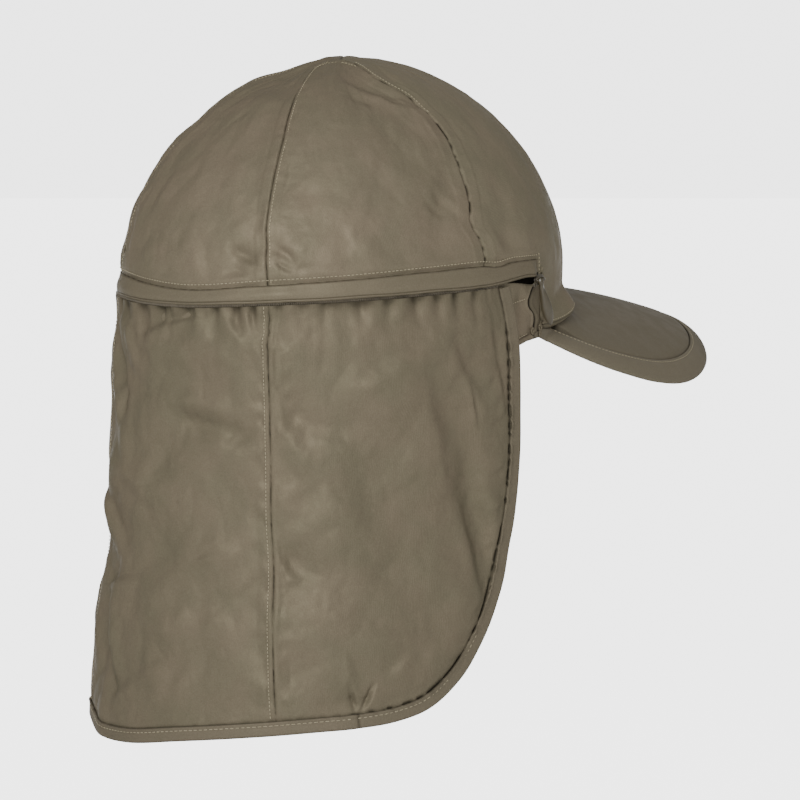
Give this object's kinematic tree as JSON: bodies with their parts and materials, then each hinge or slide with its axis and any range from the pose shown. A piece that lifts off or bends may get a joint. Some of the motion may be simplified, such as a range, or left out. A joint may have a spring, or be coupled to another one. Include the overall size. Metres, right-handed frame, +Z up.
{
  "type": "sun cap with neck flap",
  "caption": "Soft panelled sun cap with a curved peak and a long neck flap that zips on round the sides and back; the zip's puller swings.",
  "frame": {"origin": "middle of the head opening, level with the rim at the sides", "axes": "+Z up towards the crown's top, -Y towards the peak's front edge, -X towards the wearer's right"},
  "size_m": [0.1798, 0.308, 0.282],
  "materials": {
    "shell_cloth": "thin olive-taupe nylon with a satin sheen",
    "guard_cloth": "the same nylon, folded",
    "binding_cloth": "the same nylon, bound over the edge",
    "peak_cloth": "the same nylon over a padded stiffener",
    "zip_tape": "woven tape with a fine coil",
    "zip_metal": "painted to match the cloth, satin",
    "pull_plastic": "moulded, slightly glossy"
  },
  "bodies": {
    "cap": {"crown_panel_front": "shell_cloth", "crown_panel_front_right": "shell_cloth", "crown_panel_back_right": "shell_cloth", "crown_panel_back": "shell_cloth", "crown_panel_back_left": "shell_cloth", "crown_panel_front_left": "shell_cloth", "back_band": "shell_cloth", "zip_guard": "guard_cloth", "zip": "zip_tape", "flap_panel_right": "shell_cloth", "flap_panel_back": "shell_cloth", "flap_panel_left": "shell_cloth", "flap_binding": "binding_cloth", "peak": "peak_cloth", "peak_binding": "binding_cloth", "zip_slider": "zip_metal", "zip_box": "zip_metal"},
    "puller": {"zip_pull": "pull_plastic"}
  },
  "joints": [
    {"name": "puller_swing", "type": "hinge", "parent": "cap", "child": "puller", "pos_m": [-0.08289, -0.03466, 0.0276], "axis": [-0.2609, 0.9346, -0.2419], "range_deg": [-15, 140]}
  ]
}
